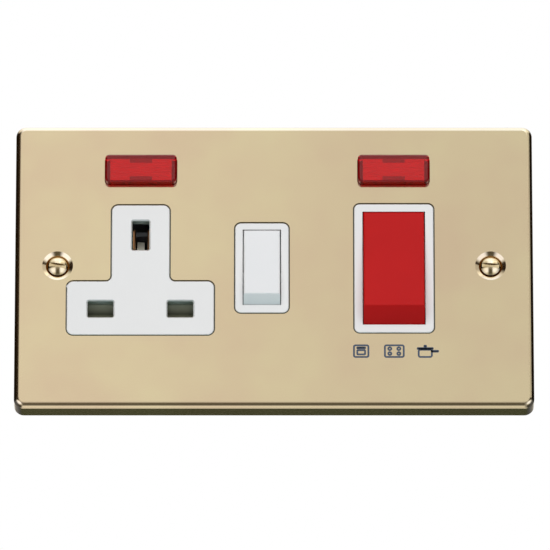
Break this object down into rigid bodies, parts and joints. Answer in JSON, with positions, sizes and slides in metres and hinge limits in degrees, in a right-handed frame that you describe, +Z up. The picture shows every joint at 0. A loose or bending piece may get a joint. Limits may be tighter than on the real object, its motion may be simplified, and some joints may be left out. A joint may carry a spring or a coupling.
{
  "type": "cooker control unit",
  "caption": "Polished brass cooker control unit with a switched three-pin socket outlet, a red rocker cooker switch and neon indicators.",
  "frame": {"origin": "middle of the plate's back rim, on the wall plane, halfway between the two fixing screws", "axes": "+X right, +Z up, +Y into the wall along the fixing screws, so the front faces -Y"},
  "size_m": [0.1444, 0.045, 0.0846],
  "materials": {
    "polished_brass": "pressed sheet, polished and lacquered",
    "screw_brass": "turned, polished",
    "terminal_brass": "machined",
    "contact_bronze": "rolled strip, folded",
    "spring_steel": "spring wire and strip",
    "plated_steel": "zinc plated",
    "white_moulding": "moulded urea, gloss",
    "white_rocker": "moulded polycarbonate, gloss",
    "grey_moulding": "moulded, satin",
    "shutter_moulding": "moulded, satin",
    "nylon": "natural nylon",
    "red_rocker": "moulded polycarbonate, gloss",
    "red_lens": "clear red polycarbonate",
    "lamp_glass": "blown glass",
    "resistor_body": "lacquered",
    "brown_wire": "PVC insulation",
    "blue_wire": "PVC insulation"
  },
  "bodies": {
    "housing": {"front_plate": "polished_brass", "fixing_screw_left": "screw_brass", "fixing_screw_right": "screw_brass", "push_on_washers": "spring_steel", "socket_cover": "white_moulding", "socket_base": "grey_moulding", "shutter_spring": "spring_steel", "line_contact": "contact_bronze", "neutral_contact": "contact_bronze", "earth_contact": "contact_bronze", "earth_terminal": "terminal_brass", "earth_clamp_screw": "plated_steel", "earth_strap": "contact_bronze", "socket_fixed_contact": "contact_bronze", "cooker_cover": "white_moulding", "cooker_base": "grey_moulding", "line_link": "brown_wire", "neutral_link": "blue_wire", "supply_clamp_screws": "plated_steel", "load_clamp_screws": "plated_steel", "socket_case_screws": "plated_steel", "cooker_case_screws": "plated_steel", "line_supply_strap": "contact_bronze", "line_load_strap": "contact_bronze", "line_supply_terminal": "terminal_brass", "line_load_terminal": "terminal_brass", "neutral_supply_strap": "contact_bronze", "neutral_load_strap": "contact_bronze", "neutral_supply_terminal": "terminal_brass", "neutral_load_terminal": "terminal_brass", "socket_neon_lens": "red_lens", "socket_neon_holder": "white_moulding", "socket_neon_lamp": "lamp_glass", "socket_neon_resistor": "resistor_body", "cooker_neon_lens": "red_lens", "cooker_neon_holder": "white_moulding", "cooker_neon_lamp": "lamp_glass", "cooker_neon_resistor": "resistor_body"},
    "socket_rocker_body": {"socket_rocker": "white_rocker", "socket_plunger": "nylon", "socket_plunger_spring": "spring_steel"},
    "cooker_rocker_body": {"cooker_rocker": "red_rocker", "line_plunger": "nylon", "line_plunger_spring": "spring_steel", "neutral_plunger": "nylon", "neutral_plunger_spring": "spring_steel"},
    "socket_contact_body": {"socket_rocking_contact": "contact_bronze"},
    "line_contact_body": {"line_rocking_contact": "contact_bronze"},
    "neutral_contact_body": {"neutral_rocking_contact": "contact_bronze"},
    "shutter_body": {"socket_shutter": "shutter_moulding"}
  },
  "joints": [
    {"name": "socket_switch", "type": "hinge", "parent": "housing", "child": "socket_rocker_body", "pos_m": [-0.0034, 0.0011, -0.0005], "axis": [1, 0, 0], "range_deg": [0, 14.3]},
    {"name": "cooker_switch", "type": "hinge", "parent": "housing", "child": "cooker_rocker_body", "pos_m": [0.0334, 0.006, -0.00072], "axis": [1, 0, 0], "range_deg": [0, 15.5]},
    {"name": "socket_contact_rock", "type": "hinge", "parent": "housing", "child": "socket_contact_body", "pos_m": [-0.0034, 0.0101, -0.0005], "axis": [1, 0, 0], "range_deg": [-16.05, 0]},
    {"name": "line_contact_rock", "type": "hinge", "parent": "housing", "child": "line_contact_body", "pos_m": [0.0384, 0.0168, -0.00072], "axis": [1, 0, 0], "range_deg": [-16.05, 0]},
    {"name": "neutral_contact_rock", "type": "hinge", "parent": "housing", "child": "neutral_contact_body", "pos_m": [0.0284, 0.0168, -0.00072], "axis": [1, 0, 0], "range_deg": [-16.05, 0]},
    {"name": "shutter_slide", "type": "slide", "parent": "housing", "child": "shutter_body", "axis": [0, 0, -1], "range_m": [0, 0.0058], "stiffness_N_per_m": 60, "springref_m": -0.003, "deforming": ["shutter_spring"]}
  ],
  "couplings": [
    {"joint": "socket_contact_rock", "follows": "socket_switch", "ratio": -1.1189},
    {"joint": "line_contact_rock", "follows": "cooker_switch", "ratio": -1.0323},
    {"joint": "neutral_contact_rock", "follows": "cooker_switch", "ratio": -1.0323}
  ]
}
